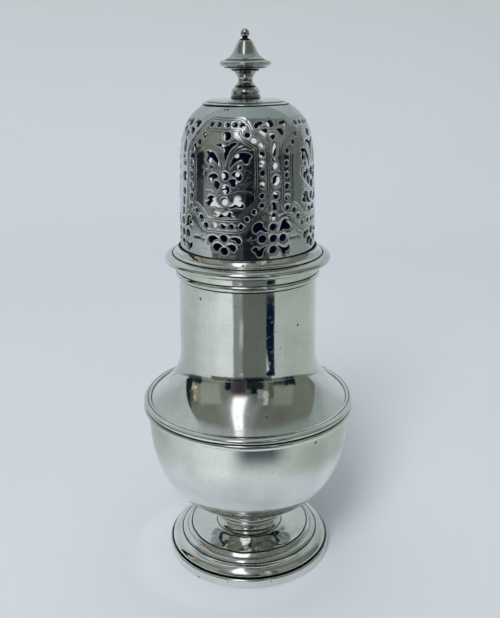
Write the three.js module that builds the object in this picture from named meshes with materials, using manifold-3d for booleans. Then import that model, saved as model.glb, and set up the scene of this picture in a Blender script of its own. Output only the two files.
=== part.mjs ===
// Silver sugar caster: a turned baluster body on a stepped foot, closed by a pierced cover that lifts off.
// Millimetres, +Z up, origin at the centre of the foot's lower face. Each piece is a solid of revolution,
// and the cover's strapwork is cut through its dome, four repeats round.

import * as THREE from "three";
import { mergeVertices, toCreasedNormals } from "three/addons/utils/BufferGeometryUtils.js";
import Module from "manifold-3d";

const wasm = await Module();
wasm.setup();

// Walls and fits
const bodyWall = 0.8;
const domeWall = 0.8;
const fitGap = 0.3;
const cutOverrun = 0.6;

// Foot: an applied wire round a raised, stepped foot that is hollow below
const footRadius = 26.1;
const footRimHeight = 3.0;
const footRimWidth = 2.5;
const footGroove = 1.0;
const footWall = 0.9;
const mouldingHeight = 3.5;
const stepRadius = 18.9;
const stepSlope = 1.0;
const stepRise = 1.4;
const plateRise = 0.3;
const stemBaseRadius = 9.8;
const stemWaistRadius = 8.5;
const stemTopRadius = 10.4;
const stemHeight = 3.5;

// Collar: the turned knop between the stem and the bowl
const collarHeight = 6.3;
const collarTopRadius = 13.6;
const collarSeatRadius = 10.2;

// Bowl: the full lower half of the body
const bowlRadius = 31.0;
const bowlRoundHeight = 31.0;
const bowlStraightHeight = 3.0;
const bowlFullness = 2.35;

// Girdle: the applied moulding over the joint of bowl and shoulder
const girdleDepth = 1.2;
const girdleBelowJoint = 1.9;
const girdleAboveJoint = 1.8;

// Shoulder and neck
const shoulderInset = 0.6;
const shoulderRise = 15.3;
const neckRadius = 20.15;
const neckTaper = 0.45;
const neckHeight = 27.5;
const mouthWall = 1.05;
const mouthBoreDepth = 14.0;

// Mouth band
const mouthBandDepth = 0.8;
const mouthBandHeight = 3.8;

// Cover: moulded rim, bezel, pierced dome, crown and finial
const coverRimDepth = 4.5;
const coverRimHeight = 4.6;
const coverFloor = 1.0;
const bezelGap = 0.35;
const bezelWall = 0.7;
const bezelDepth = 12.0;
const domeRadius = 19.6;
const domeTaper = 0.7;
const domeStraightHeight = 27.7;
const domeCrownHeight = 15.4;
const crownRadius = 12.0;
const crownSeatWidth = 2.6;
const crownHeight = 1.6;
const finialRadius = 7.2;
const finialHeight = 18.0;

// Piercing: plain bands under and over the strapwork, and the sizes of the drilled and sawn holes
const plainBelow = 4.7;
const plainAbove = 4.6;
const beadRadius = 0.78;
const smallRadius = 0.68;
const roundRadius = 1.1;
const petalLength = 3.0;

// Facets round each turned piece, steps along curves and arcs, and how far the dome's joined facets stray
const segments = 28;
const finialSegments = 16;
const curveSteps = 5;
const arcSteps = 2;
const facetTolerance = 0.03;

// Levels up the axis
const rimTop = footRimHeight;
const stepLow = rimTop + mouldingHeight;
const plateEdge = stepLow + stepRise;
const stemBase = plateEdge + plateRise;
const stemTop = stemBase + stemHeight;
const bowlBottom = stemTop + collarHeight;
const bodyJoint = bowlBottom + bowlRoundHeight + bowlStraightHeight;
const girdleLow = bodyJoint - girdleBelowJoint;
const girdleHeight = girdleBelowJoint + girdleAboveJoint;
const shoulderFoot = bodyJoint + girdleAboveJoint / 2;
const shoulderLow = shoulderFoot + fitGap;
const neckLow = shoulderLow + shoulderRise;
const mouthLevel = neckLow + neckHeight;
const coverSeat = mouthLevel + fitGap;
const domeBase = coverSeat + coverFloor;
const domeShoulder = domeBase + domeStraightHeight;
const crownSeat = domeShoulder + domeCrownHeight;
const finialSeat = crownSeat + crownHeight;

// Radii that follow their neighbours
const shoulderRadius = bowlRadius - shoulderInset;
const neckLowRadius = neckRadius + neckTaper;
const mouthBore = neckRadius - mouthWall;
const bezelRadius = mouthBore - bezelGap;
const bezelBore = bezelRadius - bezelWall;
const domeShoulderRadius = domeRadius - domeTaper;

const at = (radius, height) => new THREE.Vector2(radius, height);

// Points of an outline given as shares of a width and a height, measured from a corner
const shaped = (corner, width, height, shares) =>
  shares.map(([across, up]) => at(corner.x + across * width, corner.y + up * height));

// Arc that bulges to the right of the way from one point to the next by a share of their distance
function arc(from, to, bulgeShare) {
  const along = to.clone().sub(from);
  const middle = from.clone().add(to).divideScalar(2);
  middle.x += along.y * bulgeShare * 2;
  middle.y -= along.x * bulgeShare * 2;
  return new THREE.QuadraticBezierCurve(from, middle, to).getPoints(arcSteps);
}

// Each point of a wall's outer line moved in by the wall's thickness, in reverse order
function innerWall(outer, wall) {
  return outer
    .map((point, i) => {
      const before = outer[Math.max(i - 1, 0)];
      const after = outer[Math.min(i + 1, outer.length - 1)];
      const along = after.clone().sub(before).normalize();
      return at(Math.max(point.x - along.y * wall, 0), point.y + along.x * wall);
    })
    .reverse();
}

// Closed solid from a triangle soup: shared corners merged, collapsed triangles dropped, faces outwards
function closed(geometry) {
  geometry.deleteAttribute("normal");
  geometry.deleteAttribute("uv");
  const merged = mergeVertices(geometry);
  const corners = merged.index.array;
  const kept = [];
  for (let i = 0; i < corners.length; i += 3) {
    const [a, b, c] = corners.slice(i, i + 3);
    if (a !== b && b !== c && c !== a) kept.push(a, b, c);
  }
  const vertProperties = merged.attributes.position.array;
  const body = () =>
    new wasm.Manifold(new wasm.Mesh({ numProp: 3, vertProperties, triVerts: new Uint32Array(kept) }));
  const solid = body();
  if (solid.volume() > 0) return solid;
  for (let i = 0; i < kept.length; i += 3) [kept[i + 1], kept[i + 2]] = [kept[i + 2], kept[i + 1]];
  return body();
}

// Outline in radius and height turned about the axis
function turned(outline, sides = segments) {
  const touchesAxis = outline[0].x === 0 && outline.at(-1).x === 0;
  const points = touchesAxis ? outline : [...outline, outline[0].clone()];
  return closed(new THREE.LatheGeometry(points, sides).rotateX(Math.PI / 2));
}

// Mesh of a solid, in polished silver that is greyer or browner by piece
function mesh(name, solid, colour = 0xc9ccc8, roughness = 0.18) {
  const { vertProperties, triVerts } = solid.getMesh();
  const geometry = new THREE.BufferGeometry();
  geometry.setAttribute("position", new THREE.BufferAttribute(vertProperties, 3));
  geometry.setIndex(new THREE.BufferAttribute(triVerts, 1));
  const material = new THREE.MeshStandardMaterial({ color: colour, roughness, metalness: 1 });
  const piece = new THREE.Mesh(toCreasedNormals(geometry, Math.PI / 5), material);
  piece.name = name;
  return piece;
}

function footRim() {
  const inner = footRadius - footRimWidth;
  const softEdge = footRimHeight / 6;
  return turned([
    at(inner, 0),
    at(footRadius, 0),
    at(footRadius, rimTop - softEdge),
    at(footRadius - softEdge, rimTop),
    at(inner, rimTop),
  ]);
}

// Foot: a full round, a small cove and a flat up to the step, then the dished plate and the stem
function foot() {
  const edge = footRadius - footGroove;
  const stepFoot = at(stepRadius + stepSlope, stepLow);
  const plate = at(stepRadius, plateEdge);
  const stemFoot = at(stemBaseRadius, stemBase);
  const waist = at(stemWaistRadius, stemBase + stemHeight / 3);
  const mouldingShares = [
    [1, 0], [0.985, 0.27], [0.86, 0.53], [0.69, 0.69], [0.5, 0.745], [0.36, 0.82], [0.29, 1],
  ];
  const roundShare = 0.2;
  const dishShare = -0.04;
  const hollowShare = -0.12;
  return turned([
    at(edge - footWall, rimTop),
    ...shaped(at(stepFoot.x, rimTop), edge - stepFoot.x, mouldingHeight, mouldingShares),
    ...arc(stepFoot, plate, roundShare),
    ...arc(plate, stemFoot, dishShare).slice(1),
    ...arc(stemFoot, waist, hollowShare).slice(1),
    ...arc(waist, at(stemTopRadius, stemTop), hollowShare).slice(1),
    at(0, stemTop),
    at(0, stemTop - footWall),
    at(stemWaistRadius - footWall, stemTop - footWall),
    at(stemWaistRadius - footWall, stemBase),
    ...arc(
      at(stemBaseRadius - footWall, stemBase - footWall),
      at(stepRadius - footWall, plateEdge - footWall),
      -dishShare,
    ),
    at(stepFoot.x - footWall, stepLow - footWall),
  ]);
}

function collar() {
  const seat = at(0, stemTop);
  const profileShares = [
    [0.82, 0], [0.84, 0.24], [0.93, 0.32], [0.96, 0.44], [0.91, 0.57], [1, 0.72], [0.95, 0.9],
  ];
  return turned([
    seat,
    ...shaped(seat, collarTopRadius, collarHeight, profileShares),
    at(collarSeatRadius, bowlBottom),
    at(0, bowlBottom),
  ]);
}

// The bowl's outer line: a flat seat, then a full round whose fullness sets how square it swells
function bowlLine() {
  const round = Array.from({ length: curveSteps + 2 }, (_, i) => {
    const swing = (i / (curveSteps + 1)) * (Math.PI / 2);
    const out = Math.sin(swing) ** (2 / bowlFullness);
    const up = 1 - Math.cos(swing) ** (2 / bowlFullness);
    return at(
      collarSeatRadius + (bowlRadius - collarSeatRadius) * out,
      bowlBottom + bowlRoundHeight * up,
    );
  });
  return [at(0, bowlBottom), ...round, at(bowlRadius, bodyJoint)];
}

function bowl() {
  const outer = bowlLine();
  return turned([...outer, ...innerWall(outer, bodyWall)]);
}

function girdle() {
  const inner = at(bowlRadius + fitGap, girdleLow);
  const sectionShares = [
    [0, 0], [0.8, 0.02], [1, 0.22], [0.55, 0.5], [0.94, 0.72], [0.5, 1], [-1, 1], [-0.35, 0.86], [0, 0.8],
  ];
  return turned(shaped(inner, girdleDepth, girdleHeight, sectionShares));
}

// The upper body's outer line: a hollow sweep in from the girdle, then a neck that tapers slightly
function upperLine() {
  const fall = shoulderRadius - neckLowRadius;
  const handleShares = [[0.55, 0.22], [0.04, 0.46]];
  const [low, high] = handleShares.map(([out, up]) =>
    at(neckLowRadius + fall * out, shoulderLow + shoulderRise * up),
  );
  const sweep = new THREE.CubicBezierCurve(
    at(shoulderRadius, shoulderLow), low, high, at(neckLowRadius, neckLow),
  );
  return [
    at(bowlRadius, bodyJoint),
    at(bowlRadius, shoulderFoot),
    ...sweep.getPoints(curveSteps),
    at(neckRadius, mouthLevel),
  ];
}

function upperBody() {
  const outer = upperLine();
  const inner = innerWall(outer.slice(0, -1), bodyWall);
  const boreLow = mouthLevel - mouthBoreDepth;
  return turned([...outer, at(mouthBore, mouthLevel), at(mouthBore, boreLow), ...inner]);
}

function mouthBand() {
  const neckAtBand = neckRadius + (neckTaper * mouthBandHeight) / neckHeight;
  const inner = at(neckAtBand + fitGap, mouthLevel - mouthBandHeight);
  const sectionShares = [
    [0, 0], [0.8, 0], [1, 0.2], [0.7, 0.46], [0.85, 1], [0, 1],
  ];
  return turned(shaped(inner, mouthBandDepth, mouthBandHeight, sectionShares));
}

function coverRim() {
  const seat = at(domeRadius + fitGap, coverSeat);
  const sectionShares = [
    [0.5, 0], [0.86, 0.06], [1, 0.22], [0.84, 0.44], [0.45, 0.54], [0.22, 0.72], [0.08, 1], [0, 1],
  ];
  return turned([
    at(bezelBore, coverSeat),
    ...shaped(seat, coverRimDepth, coverRimHeight, sectionShares),
    at(seat.x, domeBase),
    at(bezelBore, domeBase),
  ]);
}

function coverBezel() {
  const low = coverSeat - bezelDepth;
  return turned([
    at(bezelBore, low),
    at(bezelRadius, low),
    at(bezelRadius, coverSeat),
    at(bezelBore, coverSeat),
  ]);
}

// The dome's outer line: nearly upright, then a round shoulder in to the crown
function domeLine() {
  const line = new THREE.CurvePath();
  const crownHandleShares = [[0.957, 0.52], [0.725, 0.81]];
  const fall = domeShoulderRadius - crownRadius;
  const [low, high] = crownHandleShares.map(([out, up]) =>
    at(crownRadius + fall * out, domeShoulder + domeCrownHeight * up),
  );
  line.add(new THREE.QuadraticBezierCurve(
    at(domeRadius, domeBase), at(domeRadius, (domeBase + domeShoulder) / 2), at(domeShoulderRadius, domeShoulder),
  ));
  line.add(new THREE.CubicBezierCurve(
    at(domeShoulderRadius, domeShoulder), low, high, at(crownRadius, crownSeat),
  ));
  return line;
}

const dome = domeLine();
const piercedHeight = dome.getLength() - plainBelow - plainAbove;

// Middle lines of the wide and narrow panels round the dome, in shares of a quarter turn from the front.
// The cutter spaced them by eye.
const wideTurnShares = [-0.202, 0.751, 1.767, 2.782];
const narrowTurnShares = [0.249, 1.24, 2.256, 3.279];
const repeats = wideTurnShares.length;
const repeatWidth = (2 * Math.PI * domeRadius) / repeats;

// Outlines of the sawn holes. Each point is a share of a repeat's width from the panel's middle line and
// a share of the pierced height. Left and right leaves differ, as the cutter drew them.
const widePanelShares = [
  [[-0.087, 0.81], [-0.004, 0.806], [0.046, 0.818], [0.109, 0.83], [0.042, 0.76], [0.001, 0.665],
    [-0.02, 0.76]],
  [[-0.193, 0.757], [-0.13, 0.766], [-0.074, 0.722], [-0.12, 0.713], [-0.14, 0.692], [-0.178, 0.698],
    [-0.158, 0.73]],
  [[-0.082, 0.685], [-0.05, 0.685], [-0.058, 0.628]],
  [[0.24, 0.735], [0.18, 0.76], [0.095, 0.728], [0.044, 0.642], [0.105, 0.7], [0.141, 0.714],
    [0.169, 0.684], [0.212, 0.695]],
  [[-0.172, 0.424], [-0.135, 0.442], [-0.1, 0.426], [-0.086, 0.39], [-0.024, 0.351], [-0.165, 0.362],
    [-0.152, 0.405]],
  [[0.172, 0.374], [0.168, 0.408], [0.135, 0.438], [0.105, 0.44], [0.09, 0.41], [0.028, 0.36], [0.1, 0.356]],
  [[-0.104, 0.293], [-0.073, 0.317], [0.069, 0.317], [0.084, 0.293]],
];
const narrowPanelShares = [
  [[-0.123, 0.92], [-0.1, 0.911], [-0.09, 0.866], [-0.113, 0.878]],
  [[-0.037, 0.888], [0, 0.9], [0.041, 0.89], [0.018, 0.862], [-0.012, 0.85]],
  [[0.012, 0.845], [0.032, 0.755], [0.018, 0.717], [-0.009, 0.718], [-0.018, 0.757]],
  [[-0.03, 0.39], [0.012, 0.392], [0.018, 0.34], [-0.022, 0.338]],
  [[-0.03, 0.328], [0.014, 0.33], [0.01, 0.275], [-0.026, 0.274]],
  [[-0.204, 0.196], [-0.19, 0.238], [-0.143, 0.26], [-0.112, 0.228], [-0.062, 0.177], [-0.13, 0.186],
    [-0.185, 0.172]],
  [[0.018, 0.175], [0.052, 0.198], [0.07, 0.248], [0.118, 0.262], [0.156, 0.212], [0.15, 0.182], [0.08, 0.176]],
  [[-0.054, 0.084], [-0.137, 0.066], [-0.203, 0.058], [-0.192, 0.02], [-0.142, -0.002], [-0.104, 0.018]],
  [[0.012, 0.083], [0.098, 0.062], [0.15, 0.069], [0.148, 0.025], [0.106, -0.002], [0.07, 0.016]],
];

// Sawn petals: middle point, quarter turns, and the side that the pointed tail lies on
const widePetalShares = [
  [-0.116, 0.58, 0, 1], [0.109, 0.583, 0, -1], [-0.078, 0.527, 0.9, 1], [0.072, 0.53, -0.9, -1],
  [-0.121, 0.117, 0, 1], [0.103, 0.118, 0, -1], [-0.072, 0.06, 0.15, 1], [0.06, 0.06, -0.15, -1],
];
const narrowPetalShares = [
  [-0.125, 0.955, 0, 1], [0.14, 0.958, 0, -1], [0.078, 0.905, 0, -1],
];
const petalOutlineShares = [
  [-0.44, -0.02], [-0.27, 0.27], [0.21, 0.34], [0.55, 0.12], [0.02, -0.12], [-0.2, -0.38],
];

// Drilled holes: the octagon of beads round each wide panel, and the round holes within the panels
const beadRowShares = [-0.167, -0.083, 0, 0.083, 0.167];
const beadSideShares = [
  [0.217, 0.887], [0.282, 0.845], [0.342, 0.8], [0.355, 0.73], [0.355, 0.66], [0.355, 0.59], [0.355, 0.515],
  [0.355, 0.44], [0.355, 0.367], [0.285, 0.325], [0.225, 0.272],
];
const beadRowLevelShares = [0.962, 0.222];
const wideRoundShares = [[0, 0.877], [0, 0.59], [0, 0.49], [0, 0.405], [0, 0.128], [0, 0.035]];
const narrowRoundShares = [
  [0, 0.966], [0.012, 0.557], [-0.02, 0.213], [-0.12, 0.125], [-0.02, 0.125], [0.08, 0.125], [-0.02, 0.038],
];
const wideSmallShares = [[-0.136, 0.656], [0.132, 0.667]];
const narrowSmallShares = [[0.01, 0.665], [0.01, 0.447]];

// Cutter for one hole: its outline pushed through the wall, square to the surface at the hole's middle
function cutter(outline, across, up) {
  const share = (plainBelow + up * piercedHeight) / dome.getLength();
  const point = dome.getPoint(share);
  const slope = dome.getTangent(share);
  const turn = (across / repeats) * 2 * Math.PI;
  const reach = domeWall + cutOverrun;
  const frame = new THREE.Matrix4().makeBasis(
    new THREE.Vector3(Math.cos(turn), Math.sin(turn), 0),
    new THREE.Vector3(slope.x * Math.sin(turn), -slope.x * Math.cos(turn), slope.y),
    new THREE.Vector3(slope.y * Math.sin(turn), -slope.y * Math.cos(turn), -slope.x),
  );
  frame.setPosition(point.x * Math.sin(turn), -point.x * Math.cos(turn), point.y);
  const prism = new THREE.ExtrudeGeometry(new THREE.Shape(outline), { depth: 2 * reach, bevelEnabled: false });
  return closed(prism.translate(0, 0, -reach).applyMatrix4(frame));
}

const roundOutline = (radius, sides) =>
  Array.from({ length: sides }, (_, i) => {
    const swing = ((i + 0.5) / sides) * 2 * Math.PI;
    return at(radius * Math.cos(swing), radius * Math.sin(swing));
  });

function sawnHole(shares, panel) {
  const middle = shares.reduce((sum, [x, y]) => sum.add(at(x, y)), at(0, 0)).divideScalar(shares.length);
  const outline = shares.map(([x, y]) => at((x - middle.x) * repeatWidth, (y - middle.y) * piercedHeight));
  return cutter(outline, panel + middle.x, middle.y);
}

function petalHole([across, up, quarters, side], panel) {
  const outline = petalOutlineShares.map(([x, y]) =>
    at(x * side * petalLength, y * petalLength).rotateAround(at(0, 0), (quarters * Math.PI) / 2),
  );
  return cutter(outline, panel + across, up);
}

const roundHole = ([across, up], panel, radius, sides) =>
  cutter(roundOutline(radius, sides), panel + across, up);

// All holes of one repeat: a wide panel and the narrow one that follows it
function repeatCutters(wide, narrow) {
  const rows = beadRowLevelShares.flatMap((up) => beadRowShares.map((across) => [across, up]));
  const sides = beadSideShares.flatMap(([across, up]) => [[across, up], [-across, up]]);
  return [
    ...[...rows, ...sides].map((place) => roundHole(place, wide, beadRadius, 5)),
    ...widePanelShares.map((shares) => sawnHole(shares, wide)),
    ...narrowPanelShares.map((shares) => sawnHole(shares, narrow)),
    ...widePetalShares.map((petal) => petalHole(petal, wide)),
    ...narrowPetalShares.map((petal) => petalHole(petal, narrow)),
    ...wideRoundShares.map((place) => roundHole(place, wide, roundRadius, 6)),
    ...narrowRoundShares.map((place) => roundHole(place, narrow, roundRadius, 6)),
    ...wideSmallShares.map((place) => roundHole(place, wide, smallRadius, 5)),
    ...narrowSmallShares.map((place) => roundHole(place, narrow, smallRadius, 5)),
  ];
}

function piercedDome() {
  const upright = dome.curves[0].getPoints(arcSteps);
  const shoulder = dome.curves[1].getPoints(curveSteps).slice(1);
  const outer = [...upright, ...shoulder];
  const inner = innerWall(outer, domeWall);
  inner.at(-1).y = domeBase;
  const lip = crownRadius - crownSeatWidth;
  const shell = turned([...outer, at(lip, crownSeat), at(lip, crownSeat - domeWall), ...inner]);
  const cutters = wideTurnShares.flatMap((wide, i) => repeatCutters(wide, narrowTurnShares[i]));
  return shell.subtract(wasm.Manifold.union(cutters)).asOriginal().simplify(facetTolerance);
}

function crownDisc() {
  const seat = at(0, crownSeat);
  const profileShares = [
    [1, 0], [0.98, 0.3], [0.88, 0.42], [0.84, 0.68], [0.38, 1],
  ];
  return turned([seat, ...shaped(seat, crownRadius, crownHeight, profileShares), at(0, finialSeat)]);
}

function finial() {
  const seat = at(0, finialSeat);
  const profileShares = [
    [0.62, 0], [0.6, 0.04], [0.53, 0.11], [0.38, 0.17], [0.27, 0.24], [0.28, 0.32], [0.54, 0.41], [0.95, 0.49],
    [1, 0.515], [0.6, 0.6], [0.4, 0.715], [0.34, 0.795], [0.2, 0.85], [0.13, 0.885], [0.17, 0.93], [0.1, 0.99],
  ];
  return turned(
    [seat, ...shaped(seat, finialRadius, finialHeight, profileShares), at(0, finialSeat + finialHeight)],
    finialSegments,
  );
}

const group = new THREE.Group();
group.add(
  mesh("foot_rim", footRim()),
  mesh("foot", foot()),
  mesh("stem_collar", collar()),
  mesh("bowl", bowl()),
  mesh("girdle", girdle()),
  mesh("upper_body", upperBody()),
  mesh("mouth_band", mouthBand()),
  mesh("cover_rim", coverRim()),
  mesh("cover_bezel", coverBezel(), 0xb9b4a4, 0.28),
  mesh("pierced_dome", piercedDome()),
  mesh("crown_disc", crownDisc()),
  mesh("finial", finial(), 0xbdb5a6, 0.22),
);

export default group;
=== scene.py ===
"""Looks of the silver sugar caster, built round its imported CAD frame.

Outlines are in millimetres, as radius and height, until a mesh is made. The front is -Y.
"""

import math
import random

import bpy
import numpy as np
from mathutils import Matrix, Vector
from mathutils.geometry import delaunay_2d_cdt
from mathutils.kdtree import KDTree


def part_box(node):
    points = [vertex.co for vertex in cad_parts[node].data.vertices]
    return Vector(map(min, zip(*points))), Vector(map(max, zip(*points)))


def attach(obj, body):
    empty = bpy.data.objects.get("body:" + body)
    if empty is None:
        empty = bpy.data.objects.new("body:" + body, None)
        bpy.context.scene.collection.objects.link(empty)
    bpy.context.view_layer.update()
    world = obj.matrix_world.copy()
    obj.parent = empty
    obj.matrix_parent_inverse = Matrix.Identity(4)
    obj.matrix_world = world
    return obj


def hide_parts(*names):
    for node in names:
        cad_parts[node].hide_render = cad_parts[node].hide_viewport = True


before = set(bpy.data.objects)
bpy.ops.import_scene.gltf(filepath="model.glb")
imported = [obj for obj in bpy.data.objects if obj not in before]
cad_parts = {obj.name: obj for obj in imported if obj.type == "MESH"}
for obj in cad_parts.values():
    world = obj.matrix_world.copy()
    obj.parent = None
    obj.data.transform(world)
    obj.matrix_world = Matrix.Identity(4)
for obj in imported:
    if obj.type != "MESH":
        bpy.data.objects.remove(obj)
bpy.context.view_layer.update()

MM = 0.001
DEGREES = 180 / math.pi
ROUND = 160


# Outlines

def box_mm(node):
    """Lowest level, highest level and reach of a CAD node."""
    low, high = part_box(node)
    return low.z / MM, high.z / MM, high.x / MM


def bezier(*handles, steps=12):
    """Points of a curve through its two ends, with one or two handles between them."""
    points = np.array(handles, float)
    count = len(points) - 1
    shares = np.linspace(0, 1, steps + 1)[:, None]
    return sum(
        math.comb(count, i) * shares**i * (1 - shares) ** (count - i) * points[i]
        for i in range(count + 1)
    ).tolist()


def rounded(corners, steps=5):
    """Outline with its corners eased: each corner is a radius, a height and, if it is eased, a reach."""
    line = []
    for i, (r, z, *reach) in enumerate(corners):
        here = np.array([r, z], float)
        if not reach or i in (0, len(corners) - 1):
            line.append(here.tolist())
            continue
        before = np.array(corners[i - 1][:2], float) - here
        after = np.array(corners[i + 1][:2], float) - here
        ease = [
            here + side * min(reach[0] / np.linalg.norm(side), 0.49)
            for side in (before, after)
        ]
        line += bezier(ease[0], here, ease[1], steps=steps)
    return line


def dense(line, spacing):
    """The same outline with long runs divided, so that light, tarnish and painted shade are even along it."""
    out = [line[0]]
    for a, b in zip(line, line[1:]):
        count = max(1, math.ceil(math.dist(a, b) / spacing))
        out += [[a[0] + (b[0] - a[0]) * k / count, a[1] + (b[1] - a[1]) * k / count] for k in range(1, count + 1)]
    return out


def hollows(line, reach):
    """How deep each point lies in a hollow of the outline, from 0 to 1."""
    points = np.array(line)
    along = np.concatenate([[0], np.cumsum(np.linalg.norm(np.diff(points, axis=0), axis=1))])
    depth = np.zeros(len(points))
    for i, at in enumerate(along):
        near = np.exp(-(((along - at) / reach) ** 2))
        pull = (points * near[:, None]).sum(0) / near.sum() - points[i]
        i0, i1 = max(i - 1, 0), min(i + 1, len(points) - 1)
        way = points[i1] - points[i0]
        outward = np.array([way[1], -way[0]]) / (np.linalg.norm(way) + 1e-9)
        depth[i] = pull @ outward
    return np.clip(depth / (0.26 * reach), 0, 1)


# Rings of tarnish and painted shade at grooves and at the joints between pieces, as radius, height and half width in
# millimetres
TARNISH_AND_SHADE_RINGS = np.array([
    (25.3, 3.25, 0.45), (21.9, 5.8, 0.24), (18.98, 7.85, 0.3), (10.6, 8.0, 0.2), (10.5, 11.75, 0.45),
    (12.45, 15.75, 0.3), (12.3, 17.9, 0.45), (10.4, 18.1, 0.6), (31.0, 49.95, 0.4), (31.95, 51.95, 0.34),
    (31.15, 53.8, 0.14), (20.2, 91.95, 0.35), (20.95, 93.9, 0.24), (21.3, 96.1, 0.45), (22.7, 96.35, 0.5),
    (22.05, 98.55, 0.24), (21.8, 98.8, 0.16), (19.95, 100.95, 0.36), (12.05, 140.45, 0.24), (10.7, 141.1, 0.2),
    (4.2, 142.2, 0.2), (4.1, 142.6, 0.16), (2.85, 145.02, 0.26), (3.9, 149.4, 0.3), (5.85, 150.1, 0.2),
    (5.5, 151.93, 0.24), (1.5, 157.0, 0.3), (0.9, 157.5, 0.55),
])


def tarnish_and_shade_at(points):
    """How much of the rings' tarnish and painted shade lies at each point of an outline, from 0 to 1."""
    away = np.linalg.norm(np.array(points)[:, None, :] - TARNISH_AND_SHADE_RINGS[None, :, :2], axis=2)
    return np.clip(1.5 - away / TARNISH_AND_SHADE_RINGS[:, 2], 0, 1).max(1)


def finer_at_tarnish_and_shade(line):
    """The same outline with its runs near a ring of tarnish and painted shade divided finely."""
    out = [line[0]]
    for a, b in zip(line, line[1:]):
        middle = (np.array(a) + np.array(b)) / 2
        near = np.linalg.norm(TARNISH_AND_SHADE_RINGS[:, :2] - middle, axis=1).min() < math.dist(a, b) / 2 + 0.5
        out += dense([a, b], 0.1)[1:] if near and math.dist(a, b) > 0.1 else [b]
    return out


# Meshes

def linked(name, data):
    """New object of some data, linked into the scene."""
    made = bpy.data.objects.new(name, data)
    bpy.context.scene.collection.objects.link(made)
    return made


def wobble(turn, height, seed, size):
    """Slight unevenness of raised and planished metal, in millimetres."""
    rng = random.Random(seed)
    total = np.zeros(np.broadcast(turn, height).shape)
    for _ in range(9):
        round_count, up = rng.randint(2, 9), rng.uniform(0.05, 0.32)
        phase, lift = rng.uniform(0, 2 * math.pi), rng.uniform(0, 2 * math.pi)
        total += rng.uniform(0.3, 1) * np.sin(round_count * turn + phase) * np.sin(up * height + lift)
    return total * size / 3


def finish_mesh(name, vertices, faces, recess, materials, body, nodes, second=None, crease=38, edge_highlight=None):
    """Smooth mesh from points in millimetres, riding on its body in place of its CAD nodes.

    recess, for tarnish and painted shade, and the painted edge highlight are values for each point, and second is the
    material's number for each face.
    """
    data = bpy.data.meshes.new(name)
    data.from_pydata((np.array(vertices) * MM).tolist(), [], faces)
    data.validate()
    data.shade_smooth()
    data.set_sharp_from_angle(angle=math.radians(crease))
    for attribute, values in (("recess", recess), ("edge_highlight", edge_highlight)):
        if values is not None:
            data.attributes.new(attribute, "FLOAT", "POINT").data.foreach_set("value", np.array(values, np.float32))
    for material in materials:
        data.materials.append(material)
    if second is not None:
        data.polygons.foreach_set("material_index", np.array(second, np.int32))
    piece = linked(name, data)
    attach(piece, body)
    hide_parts(*nodes)


def lathe(node, line, material, body, uneven=0.02, lean=(0.0, 0.0), hollow_reach=0.7, sides=ROUND,
          lining=None, dents=0.0):
    """Turned piece that stands for a CAD node. The outline closes on itself or ends on the axis.

    lean is how far it has settled sideways at its foot and at its top, and uneven and dents are the sizes of
    its unevenness outward and upward. Past its highest point the outline has the lining.
    """
    closed = line[0][0] > 0
    points = finer_at_tarnish_and_shade(dense(line, 0.9))
    if closed and math.dist(points[0], points[-1]) < 1e-6:
        points = points[:-1]
    # Tarnish and painted shade gather in the outline's hollows and at the rings
    depth = np.maximum(hollows(points, hollow_reach), tarnish_and_shade_at(points))
    low, high = min(z for _, z in points), max(z for _, z in points)
    turns = np.arange(sides) * 2 * math.pi / sides
    vertices, recess, rings = [], [], []
    for (r, z), hollow in zip(points, depth):
        settled = lean[0] + (lean[1] - lean[0]) * (z - low) / (high - low)
        if r < 1e-6:
            rings.append([len(vertices)])
            vertices.append([settled, 0, z])
            recess.append(hollow)
            continue
        rings.append(list(range(len(vertices), len(vertices) + sides)))
        out = r - uneven + wobble(turns, z, node, uneven)
        share = (z - low) / (high - low)
        up = z + wobble(turns * 2, r * 3, node + "_dents", dents) * min(1, 5 * share * (1 - share))
        vertices += np.stack([out * np.sin(turns) + settled, -out * np.cos(turns), up + 0 * turns], 1).tolist()
        recess += [hollow] * sides
    faces, second = [], []
    top = max(range(len(points)), key=lambda i: points[i][1])
    pairs = list(zip(rings, rings[1:])) + ([(rings[-1], rings[0])] if closed else [])
    for index, (a, b) in enumerate(pairs):
        for k in range(sides):
            n = (k + 1) % sides
            if len(a) == len(b) == 1:
                break
            if len(a) == 1:
                faces.append([a[0], b[n], b[k]])
            elif len(b) == 1:
                faces.append([a[k], a[n], b[0]])
            else:
                faces.append([a[k], a[n], b[n], b[k]])
        second += [int(index > top)] * (len(faces) - len(second))
    if lining is None:
        materials, second = [material], None
    else:
        materials = [material, lining]
    finish_mesh(f"{node}_turned", vertices, faces, recess, materials, body, [node], second)


# Shaders

class Val:
    """Shader value, so that sums of sockets read as sums."""

    def __init__(self, shader, socket):
        self.shader, self.socket = shader, socket

    def math(self, operation, *others):
        return self.shader.node("Math", dict(enumerate((self, *others))), operation=operation)

    def __add__(self, other):
        return self.math("ADD", other)

    def __mul__(self, other):
        return self.math("MULTIPLY", other)

    def __sub__(self, other):
        return self.math("SUBTRACT", other)

    def __rsub__(self, other):
        return (self * -1) + other

    def __pow__(self, other):
        return self.math("POWER", other)

    __radd__, __rmul__ = __add__, __mul__

    def within(self, low, high):
        """0 below low, 1 above high, smooth between them."""
        return self.shader.node("MapRange", {0: self, 1: low, 2: high}, interpolation_type="SMOOTHSTEP")


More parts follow.
